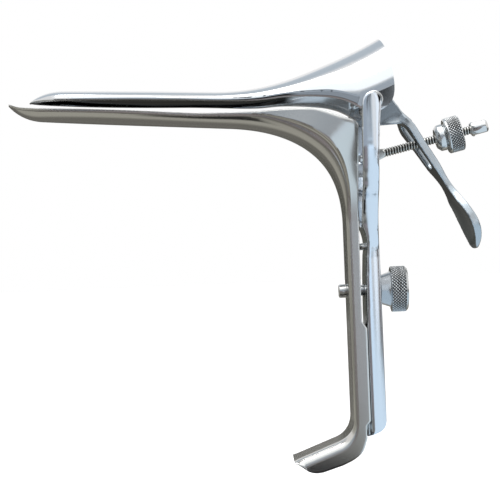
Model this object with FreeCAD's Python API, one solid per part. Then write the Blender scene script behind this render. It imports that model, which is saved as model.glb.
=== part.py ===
import FreeCAD
import Part
import math
import os
from FreeCAD import Vector

# Bivalve speculum, millimetres. +Z runs up the handle, the blades reach towards -X,
# and Y is across. The origin is in the grip: on the clamp bolt's axis, at the front
# face of the frame bar, half way across.

# Clearances
run_gap = 0.1        # flat faces that slide on each other
pin_gap = 0.05       # radial, round a pin or thread that turns or slides
set_gap = 0.02       # radial, round a rivet or stud that is set in its hole
free_gap = 0.3       # pieces that pass without touching

# Pressed sheet of both blades
sheet = 1.2
blade_half = 16.0         # widest place of the blades, half width
waist_half = 14.3         # narrowest place, half width
blade_trough = 4.7        # height of the rounded sides on the blades
blade_end = 42.0          # length over which the tips narrow to a round end

# Hinge
hinge_x = 4.4
hinge_lift = 6.1          # hinge above the blade floor where the throat starts
rivet_r = 1.2
rivet_head_r = 2.1
rivet_head = 0.9
spacer_r = 3.2

# Lower blade, its throat, handle and thumb rest
lower_reach = 131.0       # hinge to tip
lower_rise = 4.3          # degrees, blade floor above level
lower_edge = 3.9          # blade floor to edge
lower_tip_len = 13.0
lower_tip_lift = 5.0
throat_x = -46.2          # where the floor leaves its straight run
throat_z = 60.7
throat_out = 27.0         # pull of the throat's curve along the blade
throat_down = 24.0        # and along the handle
throat_half = 21.0
throat_corner = 5.8       # height of the crease above the throat's floor
throat_step = 2.2         # how far the flat sides stand out over the rounded belly
least_step = 0.15         # the crease where it fades out on the blade and handle
handle_top = 24.0         # where the handle's straight run starts
handle_half = 11.3
handle_corner = 1.8
handle_depth = 6.1        # front face to the flanges that bear on the frame bar
flange_relief = 2.2       # how much shallower the flanges are above the clamp
flange_step = -12.4       # height of the step between the two depths
handle_foot = -46.4       # lower end of the deep flanges
rest_top = -45.6          # where the handle starts to bend to the thumb rest
rest_bend = 8.5
rest_len = 17.5
rest_drop = 21.0          # degrees, thumb rest below level
rest_depth = 7.6

# Upper blade and its bell
upper_reach = 123.0
upper_depth = 4.1         # crown to edge
edge_gap = 3.2            # between the edges of the two blades
upper_run_x = -102.0      # place where both are measured
upper_fall = 2.7          # degrees, crown falls towards the bell
upper_tip_len = 14.0
upper_tip_drop = 4.3
bell_start = -52.0
bell_crown_x = -6.0
bell_lift = 17.5          # that place of the crown above the hinge
bell_slope = 23.9         # degrees
bell_half = 22.4
bell_dome = 18.5          # height of the bell's rounded top
bell_mouth = 8.2          # place of the rim at the crown

# Frame
arm_wall = 2.8
arm_front = -0.5
arm_back = 5.3
eye_back = 6.5
eye_front = 0.0
arm_crown = 2.8           # top of the arms above the hinge
plate = 1.6               # lever plate, and the spacer on the other side
bar_half = 11.2
bar_back = 5.6
bar_foot = -52.4
toe = 1.6                 # how far the foot reaches into the handle's channel
toe_top = -45.0
crotch_z = 23.0
arm_bend_top = 45.0

# Clamp
bolt_r = 1.95
bolt_head_r = 2.5
bolt_head = 2.1
open_travel = 22.0
knob_neck_r = 5.8
knob_neck_top_r = 6.6
knob_neck = 3.8
knob_r = 8.3
knob_head = 6.0
knob_bore_wall = 2.6
stud_r = 1.25
stud_z = 15.8
stud_root = 3.2

# Lever
lever_wall = 3.0
lever_slope = 55.1        # degrees below level at the top
lever_bend = 7.6          # degrees more at the thumb pad
lever_back = 11.6         # a place on the straight back line, behind the hinge
lever_lift = 4.1          # and above it
lever_straight = 30.0
lever_pad = 35.0
lever_turn = 7.5          # degrees, the front face turned towards the middle
lever_half = 6.3
neck_half = 2.9
pad_half = 7.2
lever_slot_half = 2.4
lever_slot_from = 9.3
lever_slot_to = 29.6
lever_rivet_r = 0.9

# Rod, nut and cap
rod_r = 1.65
rod_rise = 12.7           # degrees above level at rest
pivot_x = 2.5
pivot_drop = 17.7         # pivot below the hinge
pivot_r = 1.2
pivot_head_r = 2.4
pivot_head = 1.3
spade_wall = 2.6
spade_r = 3.6
spade_len = 9.3
rod_len = 49.6
nut_at = 29.9
hub_r = 5.1
hub_len = 4.0
nut_r = 6.8
nut_len = 6.2
cap_grip = 5.8            # how far the cap goes over the rod's end
cap_len = 6.6
cap_r = 2.75
cap_flat = 2.3

# Places worked out from the sizes above
hinge_z = throat_z + hinge_lift
pivot_z = hinge_z - pivot_drop
arm_top = hinge_z + arm_crown
bell_crown_z = hinge_z + bell_lift
lever_x = hinge_x + lever_back
lever_z = hinge_z + lever_lift
cap_at = rod_len - cap_grip
ear_in = bell_half - sheet
plate_in = bell_half + run_gap
arm_in = plate_in + plate + run_gap
arm_out = arm_in + arm_wall
spade_in = arm_out + run_gap
rod_y = spade_in + spade_wall / 2
handle_face = -(run_gap + handle_depth)
lower_tip_x = hinge_x - lower_reach
upper_tip_x = hinge_x - upper_reach
edge_rise = math.tan(math.radians(lower_rise))
upper_edge = throat_z + (throat_x - upper_run_x) * edge_rise + lower_edge + edge_gap
upper_crown = upper_edge + upper_depth
beyond = 3 * blade_half   # past the outside of everything across
up = Vector(0, 0, 1)
across = Vector(0, 1, 0)
along = Vector(1, 0, 0)


def smooth(share):
    share = min(max(share, 0.0), 1.0)
    return share * share * (3 - 2 * share)


def mix(start, end, share):
    return start + (end - start) * share


def heading(degrees):
    angle = math.radians(degrees)
    return Vector(math.cos(angle), 0, math.sin(angle))


def run_edge(points):
    if len(points) == 2:
        return Part.makeLine(points[0], points[1])
    curve = Part.BSplineCurve()
    curve.interpolate(points)
    return curve.toShape()


def closed_wire(runs):
    edges = [run_edge(run) for run in runs]
    first = runs[0][0]
    last = runs[-1][-1]
    if first.distanceToPoint(last) > 1e-6:
        edges.append(Part.makeLine(last, first))
    return Part.Wire(edges)


def side_prism(runs, low, high):
    """A side outline of (x, z) runs, drawn out across from low to high."""
    runs = [[Vector(x, low, z) for x, z in run] for run in runs]
    return Part.Face(closed_wire(runs)).extrude(across * (high - low))


def front_prism(runs, low, high):
    """A front outline of (y, z) runs, drawn out along X."""
    runs = [[Vector(low, y, z) for y, z in run] for run in runs]
    return Part.Face(closed_wire(runs)).extrude(along * (high - low))


def turned(profile, base, axis):
    """A solid of revolution: (radius, distance) points about an axis from base."""
    side = axis.cross(across if abs(axis.dot(across)) < 0.9 else up)
    side.normalize()
    points = [base + side * r + axis * d for r, d in profile]
    face = Part.Face(Part.makePolygon(points + points[:1]))
    return face.revolve(base, axis, 360)


def rod(radius, length, base, axis):
    return Part.makeCylinder(radius, length, base, axis)


def trough_section(origin, rise, half, corner, wall, step=least_step):
    """A channel section: floor, rounded belly, a step out at the crease, flat walls.

    corner is (width, height) of the belly's corner up to the crease.
    """
    corner_w, corner_h = corner
    belly = half - step

    def place(y, h):
        return origin + across * y + rise * h

    def side(sign):
        turns = [math.radians(a) for a in (0, 22.5, 45, 67.5, 90)]
        bend = [
            place(sign * (belly - corner_w * (1 - math.sin(t))),
                  (corner_h - step) * (1 - math.cos(t)))
            for t in turns
        ]
        crease = place(sign * half, corner_h)
        return [bend, [bend[-1], place(sign * (half - step * 0.71), corner_h - step * 0.29), crease],
                [crease, place(sign * half, wall)]]
    left = [run[::-1] for run in side(-1)[::-1]]
    right = side(1)
    floor = [left[-1][-1], right[0][0]]
    return closed_wire(left + [floor] + right)


def lofted_trough(stations, wall_t):
    """Loft the stations, each drawn in by wall_t from the outer face."""
    wires = []
    for origin, rise, half, corner, wall, step in stations:
        corner_w, corner_h = corner
        drawn = (corner_w * (1 - wall_t / half), max(corner_h - wall_t, corner_h * 0.4 + step))
        wires.append(trough_section(origin + rise * wall_t, rise, half - wall_t, drawn, wall, step))
    return Part.makeLoft(wires, True, True)


def blade_width(x, tip_x):
    """Half width of a blade: a long round end, widest place, then the waist."""
    from_tip = x - tip_x
    if from_tip < blade_end:
        return blade_half * math.sqrt(1 - (1 - from_tip / blade_end) ** 2)
    waist_at = throat_x - 6
    share = smooth((from_tip - blade_end) / (waist_at - tip_x - blade_end))
    return mix(blade_half, waist_half, share)


def bezier(start, start_pull, end_pull, end):
    curve = Part.BezierCurve()
    curve.setPoles([start, start_pull, end_pull, end])
    return curve


def lower_stations():
    """Outer floor of the lower blade from tip to handle, as loft stations."""
    ahead = heading(-lower_rise)
    rise = heading(90 - lower_rise)
    start = Vector(throat_x, 0, throat_z)
    stations = []
    length = (throat_x - lower_tip_x) / ahead.x
    for back in (0.4, 1.6, 4.0, 7.5, 12.0, 18.0, 28.0, 42.0, 60.0):
        lift = lower_tip_lift * max(1 - back / lower_tip_len, 0) ** 2.5
        origin = start - ahead * (length - back) + rise * lift
        half = blade_width(lower_tip_x + back, lower_tip_x)
        corner_h = min(blade_trough, half * 0.5)
        corner = (half * 0.88, corner_h)
        stations.append((origin, rise, half, corner, 3 * lower_edge, least_step))
    floor = bezier(
        start,
        start + ahead * throat_out,
        Vector(handle_face, 0, handle_top + throat_down),
        Vector(handle_face, 0, handle_top),
    )
    count = 10
    for step in range(count + 1):
        share = step / count
        origin = floor.value(share)
        way = floor.tangent(share)[0]
        rise = Vector(-way.z, 0, way.x)
        widen = smooth(share / 0.5) if share < 0.5 else smooth((1 - share) / 0.5)
        foot_half = waist_half if share < 0.5 else handle_half
        half = mix(foot_half, throat_half, widen)
        flat_w, flat_h = (waist_half * 0.88, blade_trough) if share < 0.5 else (
            handle_corner, handle_corner)
        corner = (mix(flat_w, throat_corner * 1.3, widen), mix(flat_h, throat_corner, widen))
        step_out = mix(least_step, throat_step, widen)
        stations.append((origin, rise, half, corner, 1.5 * throat_half, step_out))
    return stations


def rest_places():
    """Where the thumb rest starts and ends on its face, and the way down from it."""
    down = heading(rest_drop - 90)
    forward = Vector(down.z, 0, -down.x)
    centre = Vector(handle_face - rest_bend, 0, rest_top)
    start = centre + down * rest_bend
    return start, start + forward * rest_len, down


def handle_runs(draw_in):
    """Handle, bend and thumb rest as three blocks, drawn in from their outer faces."""
    section = Part.Face(
        trough_section(
            Vector(handle_face + draw_in, 0, rest_top),
            along,
            handle_half - draw_in,
            (handle_corner - draw_in * 0.6, handle_corner - draw_in * 0.6),
            3 * handle_depth,
        )
    )
    centre = Vector(handle_face - rest_bend, 0, rest_top)
    start, end, down = rest_places()
    tilted = section.copy()
    tilted.rotate(centre, across, 90 - rest_drop)
    return [
        section.extrude(up * (handle_top - rest_top)),
        section.revolve(centre, across, 90 - rest_drop),
        tilted.extrude(end - start),
    ]


def lower_outline():
    """Side outline of the lower blade, with room left outside its floor."""

    def edge(x):
        return throat_z + (throat_x - x) * edge_rise + lower_edge
    tip = lower_tip_x
    relief = -(run_gap + flange_relief)
    wall_back = arm_front - free_gap - 0.3
    corner_z = hinge_z - 6.4
    bend_end, end, down = rest_places()
    low = end + down * rest_depth
    low_bend = bend_end + down * rest_depth
    return [
        [(tip - 1, edge(tip) + 1.9), (tip + 1, edge(tip) + 1.6),
         (tip + 5, edge(tip + 5) + 0.5), (tip + 12, edge(tip + 12))],
        [(tip + 12, edge(tip + 12)), (throat_x - 12, edge(throat_x - 12))],
        [(throat_x - 12, edge(throat_x - 12)), (throat_x + 7.4, hinge_z - 1.6),
         (throat_x + 26.2, hinge_z - 1.4), (throat_x + 31.7, hinge_z - 2.0),
         (throat_x + 38.3, hinge_z - 4.6), (wall_back - 1.5, corner_z)],
        [(wall_back - 1.5, corner_z), (wall_back, corner_z - 1.5)],
        [(wall_back, corner_z - 1.5), (wall_back - 0.5, handle_top + 6)],
        [(wall_back - 0.5, handle_top + 6), (relief + 0.4, flange_step + 1.6)],
        [(relief + 0.4, flange_step + 1.6), (-run_gap, flange_step - 0.9)],
        [(-run_gap, flange_step - 0.9), (-run_gap, handle_foot)],
        [(-run_gap, handle_foot), (-run_gap - 1.6, handle_foot - 1.6)],
        [(-run_gap - 1.6, handle_foot - 1.6), (-run_gap - 1.5, rest_top - 7.0)],
        [(-run_gap - 1.5, rest_top - 7.0), (-run_gap - 3.2, rest_top - 11.4),
         (low_bend.x + 2.6, low_bend.z + 0.9), (low_bend.x - 1.5, low_bend.z - 1.1)],
        [(low_bend.x - 1.5, low_bend.z - 1.1), (low.x + 7.5, low.z + 2.9)],
        [(low.x + 7.5, low.z + 2.9), (low.x + 5.1, low.z + 2.7), (low.x + 2.4, low.z + 3.3),
         (low.x + 0.6, low.z + 4.6), (end.x, end.z)],
        [(end.x, end.z), (end.x - 2, end.z + 6)],
        [(end.x - 2, end.z + 6), (handle_face - 8, handle_foot + 8)],
        [(handle_face - 8, handle_foot + 8), (handle_face - 8, handle_top)],
        [(handle_face - 8, handle_top), (throat_x, throat_z - 12)],
        [(throat_x, throat_z - 12), (tip - 1, throat_z - 3)],
    ]


def tip_trim(tip_x):
    """Everything behind a round-ended blade tip, seen in plan."""
    rounding = blade_half ** 2 / blade_end
    half = 60.0
    body = Part.makeBox(220, 2 * half, 240, Vector(tip_x + 1.0, -half, -110))
    end = rod(rounding, 240, Vector(tip_x + rounding, 0, -110), up)
    return body.fuse(end)


def make_lower_blade():
    outer = lofted_trough(lower_stations(), 0)
    inner = lofted_trough(lower_stations(), sheet)
    trim = side_prism(lower_outline(), -beyond, beyond)
    blade = outer.cut(inner).common(trim).common(tip_trim(lower_tip_x))
    runs = [outer_run.cut(inner_run).common(trim)
            for outer_run, inner_run in zip(handle_runs(0), handle_runs(sheet))]
    body = blade.fuse(runs).removeSplitter()
    slot_half = bolt_r + 0.2
    slot = Part.makeBox(
        3 * sheet, 2 * slot_half, open_travel,
        Vector(handle_face - sheet, -slot_half, 0),
    )
    for z in (0, open_travel):
        slot = slot.fuse(rod(slot_half, 3 * sheet, Vector(handle_face - sheet, 0, z), along))
    return body.cut(slot)


def upper_stations():
    """Outer crown of the upper blade from tip to mouth; its walls point down."""
    down = Vector(0, 0, -1)
    fall = math.tan(math.radians(upper_fall))
    stations = []

    def crown(x):
        return upper_crown - (x - upper_run_x) * fall
    for back in (0.4, 1.6, 4.0, 7.5, 12.0, 18.0, 28.0, 42.0, 56.0):
        x = upper_tip_x + back
        drop = upper_tip_drop * max(1 - back / upper_tip_len, 0) ** 2.5
        half = blade_width(x, upper_tip_x)
        corner_h = min(blade_trough, half * 0.5)
        place = Vector(x, 0, crown(x) - drop)
        stations.append((place, down, half, (half * 0.88, corner_h), 5 * upper_depth, least_step))
    start = Vector(bell_start, 0, crown(bell_start))
    end = Vector(bell_crown_x, 0, bell_crown_z)
    curve = bezier(
        start,
        start + heading(-upper_fall) * 18,
        end - heading(bell_slope) * 17.5,
        end,
    )
    count = 7
    places = [curve.value(step / count) for step in range(count + 1)]
    places += [end + heading(bell_slope) * far for far in (6, 12, 18, 24)]
    for place in places:
        widen = smooth((place.x - bell_start) / (hinge_x - bell_start - 3))
        half = mix(waist_half, bell_half, widen)
        corner = (mix(half * 0.88, half - 0.8, widen), mix(blade_trough, bell_dome, widen ** 2))
        stations.append((place, down, half, corner, 2 * bell_half, least_step))
    return stations


def upper_outline():
    """Side outline of the upper blade, open above its crown."""
    tip = upper_tip_x
    fall = math.tan(math.radians(upper_fall))

    def edge(x):
        return upper_edge - (x - upper_run_x) * fall
    crown = bell_crown_z + (bell_mouth - bell_crown_x) * math.tan(math.radians(bell_slope))
    far = bell_mouth
    return [
        [(tip - 1, edge(tip) - 0.2), (tip + 8, edge(tip + 8))],
        [(tip + 8, edge(tip + 8)), (bell_start - 10, edge(bell_start - 10))],
        [(bell_start - 10, edge(bell_start - 10)), (bell_start + 13.4, hinge_z + 2.1),
         (bell_start + 26.0, hinge_z + 2.7), (bell_start + 37.5, hinge_z + 2.1),
         (bell_start + 44.2, hinge_z + 0.7), (0.1, hinge_z - 2.9), (6.6, hinge_z - 3.8)],
        [(6.6, hinge_z - 3.8), (far + 1.9, hinge_z - 1.4), (far + 3.4, hinge_z + 1.5),
         (far + 3.7, hinge_z + 5.5), (far + 3.2, hinge_z + 11), (far + 2.0, crown - 6),
         (far, crown + 0.1)],
        [(far, crown + 0.1), (far - 2, crown + 12)],
        [(far - 2, crown + 12), (tip - 1, crown + 12)],
    ]


def make_upper_blade():
    outer = lofted_trough(upper_stations(), 0)
    inner = lofted_trough(upper_stations(), sheet)
    trim = side_prism(upper_outline(), -beyond, beyond)
    body = outer.cut(inner).common(trim).common(tip_trim(upper_tip_x))
    pin_hole = rod(rivet_r + pin_gap, 2 * beyond, Vector(hinge_x, -beyond, hinge_z), across)
    body = body.cut(pin_hole)
    for x, z in lever_rivet_places():
        body = body.cut(rod(lever_rivet_r + set_gap, 8, Vector(x, ear_in - 4, z), across))
    return body


def frame_side():
    """Side outline of the frame: bar, arms and the eyes at the hinge."""
    return [
        [(0, flange_step), (0, toe_top + 1)],
        [(0, toe_top + 1), (-toe, toe_top - 0.6)],
        [(-toe, toe_top - 0.6), (-toe, bar_foot)],
        [(-toe, bar_foot), (bar_back - 2.2, bar_foot + 2.0)],
        [(bar_back - 2.2, bar_foot + 2.0), (bar_back - 0.8, bar_foot + 3.2),
         (bar_back, bar_foot + 6)],
        [(bar_back, bar_foot + 6), (bar_back, 6)],
        [(bar_back, 6), (arm_back + 0.1, crotch_z - 6), (arm_back, crotch_z + 4)],
        [(arm_back, crotch_z + 4), (arm_back, arm_bend_top)],
        [(arm_back, arm_bend_top), (arm_back + 0.4, arm_bend_top + 8),
         (eye_back, hinge_z - 4)],
        [(eye_back, hinge_z - 4), (eye_back, hinge_z),
         (eye_back - 1.2, arm_top - 0.7), (hinge_x - 1.2, arm_top),
         (eye_front + 1.2, arm_top - 1.3), (eye_front, hinge_z - 1.4)],
        [(eye_front, hinge_z - 1.4), (arm_front + 0.1, arm_bend_top + 10),
         (arm_front, arm_bend_top)],
        [(arm_front, arm_bend_top), (arm_front, crotch_z)],
        [(arm_front, crotch_z), (arm_front + 1.2, crotch_z - 3.5), (0.7, crotch_z - 10)],
        [(0.7, crotch_z - 10), (0.1, 0), (0, flange_step)],
    ]


def frame_front():
    """Front outline of the frame: a yoke on a bar."""
    mid_y = (arm_out + bar_half) / 2
    mid_z = (arm_bend_top + crotch_z) / 2
    in_mid = mid_y - arm_wall * 0.95
    outer = [
        (arm_out, arm_bend_top), (arm_out - 0.35, arm_bend_top - 3),
        (arm_out - 1.6, arm_bend_top - 6.2),
        (mid_y, mid_z - 0.5), (bar_half + 1.3, crotch_z - 1), (bar_half, crotch_z - 8),
    ]
    inner = [
        (arm_in, arm_bend_top), (arm_in - 0.35, arm_bend_top - 2.7),
        (arm_in - 1.5, arm_bend_top - 5.6),
        (in_mid, mid_z + 1.2), (bar_half - 3.4, crotch_z + 1.9), (0, crotch_z),
    ]

    def mirrored(points):
        return [(-y, z) for y, z in points]
    return [
        [(arm_out, 80), (arm_out, arm_bend_top)],
        outer,
        [(bar_half, crotch_z - 8), (bar_half, -70)],
        [(bar_half, -70), (-bar_half, -70)],
        [(-bar_half, -70), (-bar_half, crotch_z - 8)],
        mirrored(outer)[::-1],
        [(-arm_out, arm_bend_top), (-arm_out, 80)],
        [(-arm_out, 80), (-arm_in, 80)],
        [(-arm_in, 80), (-arm_in, arm_bend_top)],
        mirrored(inner)[:-1] + [(0, crotch_z)] + inner[::-1][1:],
        [(arm_in, arm_bend_top), (arm_in, 80)],
        [(arm_in, 80), (arm_out, 80)],
    ]


def toe_sides():
    """What is cut from the foot, so that its toe passes between the flanges."""
    inside = handle_half - sheet - free_gap - 0.3
    low = Vector(-toe - 1, inside, -70)
    cut = Part.makeBox(toe + 1, 20, 70 + flange_step, low)
    return cut.fuse(cut.mirror(Vector(0, 0, 0), across))


def make_frame():
    frame = side_prism(frame_side(), -40, 40).common(front_prism(frame_front(), -20, 20))
    frame = frame.cut(toe_sides())
    for y in (-arm_out - 1, arm_in - 1):
        base = Vector(hinge_x, y, hinge_z)
        frame = frame.cut(rod(rivet_r + set_gap, arm_wall + 2, base, across))
    for side in (-1, 1):
        base = Vector(hinge_x, side * arm_out, hinge_z)
        sink = Part.makeCone(rivet_head_r, rivet_r, rivet_head, base, across * -side)
        frame = frame.cut(sink)
    pivot = rod(pivot_r + set_gap, arm_wall + 2, Vector(pivot_x, arm_in - 1, pivot_z), across)
    bolt = rod(bolt_r + set_gap, 20, Vector(-8, 0, 0), along)
    stud = rod(stud_r + set_gap, stud_root + 2, Vector(-2, 0, stud_z), along)
    return frame.cut(pivot).cut(bolt).cut(stud)


def make_hinge_rivet(side):
    """A flush rivet from the outer face of an arm to a low head inside the bell."""
    inward = across * -side
    base = Vector(hinge_x, side * arm_out, hinge_z)
    grip = arm_out - ear_in + run_gap
    profile = [
        (0, 0), (rivet_head_r - set_gap, 0), (rivet_r, rivet_head - set_gap),
        (rivet_r, grip), (rivet_head_r, grip), (rivet_head_r * 0.8, grip + 0.6),
        (0, grip + rivet_head),
    ]
    return turned(profile, base, inward)


def make_hinge_spacer():
    base = Vector(hinge_x, -(arm_in - run_gap), hinge_z)
    ring = rod(spacer_r, plate, base, across)
    return ring.cut(rod(rivet_r + set_gap, plate, base, across))


def lever_line(distance, depth):
    """A place on the lever, by distance down its back line and depth from it."""
    way = heading(-lever_slope)
    start = Vector(lever_x, 0, lever_z)
    if distance <= lever_straight:
        place = start + way * distance
        slope = lever_slope
    else:
        radius = (lever_pad - 5) / math.radians(lever_bend)
        turn = (distance - lever_straight) / radius
        slope = lever_slope + math.degrees(turn)
        centre = start + way * lever_straight + heading(-lever_slope - 90) * radius
        place = centre + heading(90 - slope) * radius
    inward = heading(-slope - 90)
    place = place + inward * depth
    return (place.x, place.z)


def lever_side():
    """Side outline of the strap and thumb pad."""
    pad_end = lever_straight + lever_pad
    bulge = 0.9
    back = [lever_line(d, 0) for d in (lever_straight, lever_straight + 14)]
    return [
        [lever_line(-3.0, 0), lever_line(lever_straight, 0)],
        back + [lever_line(pad_end - 13, -0.3), lever_line(pad_end - 7.5, -0.2),
                lever_line(pad_end - 3.4, 0.9), lever_line(pad_end, 3.2)],
        [lever_line(pad_end, 3.2), lever_line(pad_end - 0.7, 4.0)],
        [lever_line(pad_end - 0.7, 4.0), lever_line(pad_end - 8, lever_wall + bulge),
         lever_line(pad_end - 20, lever_wall), lever_line(lever_straight, lever_wall)],
        [lever_line(lever_straight, lever_wall), lever_line(-1.0, lever_wall)],
    ]


def lever_face_outline():
    """Front outline of the strap: distance down the lever against half width."""
    pad_end = lever_straight + lever_pad
    side = [
        (2.0, 1.4), (5.2, lever_half - 0.9), (lever_slot_from, lever_half),
        (20.0, lever_half - 1.3), (lever_slot_to + 1.5, neck_half + 1.1), (38.0, neck_half),
        (45.0, pad_half - 2.2), (pad_end - 12, pad_half), (pad_end - 4, pad_half - 2.4),
        (pad_end - 0.4, 1.2),
    ]
    return side


def make_thumb_lever():
    body = side_prism(lever_side(), -20, 20)
    way = heading(-lever_slope)
    back = heading(90 - lever_slope)
    start = Vector(lever_x, 0, lever_z) + back * 8

    def place(distance, y):
        return start + way * distance + across * y
    side = lever_face_outline()
    right = [place(d, y) for d, y in side]
    left = [place(d, -y) for d, y in side]
    edges = [
        run_edge(right),
        Part.makeLine(right[-1], left[-1]),
        run_edge(left[::-1]),
        Part.makeLine(left[0], right[0]),
    ]
    strap = body.common(Part.Face(Part.Wire(edges)).extrude(back * -40))
    slot_start = start + way * (lever_slot_from + lever_slot_half)
    slot_end = start + way * (lever_slot_to - lever_slot_half)
    slot = rod(lever_slot_half, 30, slot_start, back * -1)
    slot = slot.fuse(rod(lever_slot_half, 30, slot_end, back * -1))
    corners = [
        slot_start + across * lever_slot_half, slot_end + across * lever_slot_half,
        slot_end - across * lever_slot_half, slot_start - across * lever_slot_half,
    ]
    box = Part.Face(Part.makePolygon(corners + corners[:1])).extrude(back * -30)
    strap = strap.cut(slot.fuse(box))
    dish_x, dish_z = lever_line(lever_straight + lever_pad - 13, lever_wall + 24.0)
    dish = Part.makeSphere(25.3, Vector(dish_x, 0, dish_z))
    strap = strap.cut(dish)
    middle_x, middle_z = lever_line(0, lever_wall / 2)
    strap.rotate(Vector(middle_x, 0, middle_z), way, lever_turn)
    strap.translate(across * rod_y)
    tab = side_prism(
        [
            [(hinge_x + 1, hinge_z - 5.8), lever_line(9.6, lever_wall - 0.1)],
            [lever_line(9.6, lever_wall - 0.1), lever_line(9.6, 0.4)],
            [lever_line(9.6, 0.4), lever_line(-3.6, 0.3)],
            [lever_line(-3.6, 0.3), (hinge_x + 7.5, hinge_z + 7.6),
             (hinge_x, hinge_z + 7.2), (hinge_x - 6.0, hinge_z + 3.6),
             (hinge_x - 6.4, hinge_z - 0.6), (hinge_x - 3.4, hinge_z - 4.8),
             (hinge_x + 1, hinge_z - 5.8)],
        ],
        plate_in, plate_in + plate,
    )
    web = side_prism(
        [
            [lever_line(2.0, 0.2), lever_line(10.5, 0.2)],
            [lever_line(10.5, 0.2), lever_line(10.5, lever_wall - 0.2)],
            [lever_line(10.5, lever_wall - 0.2), lever_line(2.0, lever_wall - 0.2)],
        ],
        plate_in, rod_y,
    )
    lever = tab.fuse([strap, web.common(strap.fuse(web))]).removeSplitter()
    lever = lever.cut(rod(rivet_r + pin_gap, 8, Vector(hinge_x, 18, hinge_z), across))
    for x, z in lever_rivet_places():
        lever = lever.cut(rod(lever_rivet_r + set_gap, 8, Vector(x, 18, z), across))
    return lever


def lever_rivet_places():
    return [(hinge_x - 4.0, hinge_z + 2.6), (hinge_x + 3.6, hinge_z + 5.0)]


def make_rod():
    """The screw rod lying level at the pivot height, then turned to its rise."""
    base = Vector(pivot_x, rod_y, pivot_z)
    low = rod_y - spade_wall / 2
    screw = rod(rod_r, rod_len - 5, base + along * 5, along)
    flat = [
        [(pivot_x + 2.4, pivot_z + spade_r - 0.5), (pivot_x + spade_len, pivot_z + rod_r)],
        [(pivot_x + spade_len, pivot_z + rod_r), (pivot_x + spade_len, pivot_z - rod_r)],
        [(pivot_x + spade_len, pivot_z - rod_r), (pivot_x + 2.4, pivot_z - spade_r + 0.5)],
    ]
    eye = rod(spade_r, spade_wall, Vector(pivot_x, low, pivot_z), across)
    eye = eye.fuse(side_prism(flat, low, low + spade_wall))
    trim = Part.makeBox(spade_len, 20, 20, Vector(pivot_x, low - 20, pivot_z - 10))
    screw = screw.cut(trim)
    trim.translate(across * (20 + spade_wall))
    screw = screw.cut(trim)
    shape = screw.fuse(eye).removeSplitter()
    shape = shape.cut(rod(pivot_r + pin_gap, 20, Vector(pivot_x, low - 5, pivot_z), across))
    return risen(shape)


def risen(shape):
    """Turn a piece that was made level about the pivot to the rod's rise."""
    shape.rotate(Vector(pivot_x, rod_y, pivot_z), across, -rod_rise)
    return shape


def make_pivot_pin():
    base = Vector(pivot_x, arm_in, pivot_z)
    length = arm_wall + run_gap + spade_wall + run_gap
    profile = [
        (0, 0), (pivot_r, 0), (pivot_r, length), (pivot_head_r, length),
        (pivot_head_r, length + pivot_head * 0.4),
        (pivot_head_r * 0.6, length + pivot_head), (0, length + pivot_head),
    ]
    return turned(profile, base, across)


def make_thumb_nut():
    base = Vector(pivot_x + nut_at, rod_y, pivot_z)
    end = hub_len + nut_len
    bore = rod_r + pin_gap
    profile = [
        (bore, 0), (hub_r - 0.8, 0), (hub_r, 0.8), (hub_r, hub_len - 0.5),
        (hub_r - 0.5, hub_len), (nut_r - 0.7, hub_len), (nut_r, hub_len + 0.7),
        (nut_r, end - 0.7), (nut_r - 0.7, end), (bore + 1.0, end), (bore, end - 0.5),
    ]
    return risen(turned(profile, base, along))


def make_end_cap():
    base = Vector(pivot_x + cap_at, rod_y, pivot_z)
    hole = rod_len - cap_at + set_gap
    bore = rod_r + set_gap
    profile = [
        (bore, 0), (cap_r - 0.4, 0), (cap_r, 0.5), (cap_r, cap_len - 0.9),
        (cap_r - 0.9, cap_len), (0, cap_len), (0, hole), (bore, hole),
    ]
    cap = turned(profile, base, along)
    for side in (-1, 1):
        low = Vector(base.x + 1.0, base.y - 5, pivot_z + (cap_flat if side > 0 else -5 - cap_flat))
        cap = cap.cut(Part.makeBox(cap_len, 10, 5, low))
    return risen(cap)


def make_clamp_bolt():
    face = handle_face - run_gap
    base = Vector(face - bolt_head, 0, 0)
    far = bar_back + free_gap + knob_neck + knob_head - knob_bore_wall - free_gap
    profile = [
        (0, 0), (bolt_head_r - 0.7, 0), (bolt_head_r, 0.8), (bolt_head_r, bolt_head),
        (bolt_r, bolt_head), (bolt_r, far - base.x - 0.5), (bolt_r - 0.5, far - base.x),
        (0, far - base.x),
    ]
    return turned(profile, base, along)


def make_clamp_knob():
    base = Vector(bar_back + free_gap, 0, 0)
    end = knob_neck + knob_head
    hole = end - knob_bore_wall
    bore = bolt_r + pin_gap
    profile = [
        (bore, 0), (knob_neck_r, 0), (knob_neck_top_r, knob_neck - 0.4),
        (knob_neck_top_r, knob_neck), (knob_r - 0.5, knob_neck), (knob_r, knob_neck + 0.5),
        (knob_r, end - 1.2), (knob_r - 0.5, end - 0.4), (knob_r - 1.4, end),
        (0, end), (0, hole), (bore, hole),
    ]
    return turned(profile, base, along)


def make_guide_stud():
    tip = handle_face + sheet + free_gap
    base = Vector(tip, 0, stud_z)
    profile = [
        (0, 0), (stud_r - 0.3, 0), (stud_r, 0.4), (stud_r, stud_root - tip), (0, stud_root - tip),
    ]
    return turned(profile, base, along)


def make_lever_rivets():
    """Small rivets that hold the lever's plate to the bell, low heads both sides."""
    shapes = []
    grip = plate_in + plate - ear_in
    head = 0.7
    for x, z in lever_rivet_places():
        base = Vector(x, ear_in - head - set_gap, z)
        profile = [
            (0, 0), (lever_rivet_r, 0), (lever_rivet_r + 0.4, head * 0.7),
            (lever_rivet_r, head * 0.7), (lever_rivet_r, head + grip), (0, head + grip),
        ]
        shapes.append(turned(profile, base, across))
    return Part.Compound(shapes)


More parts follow.
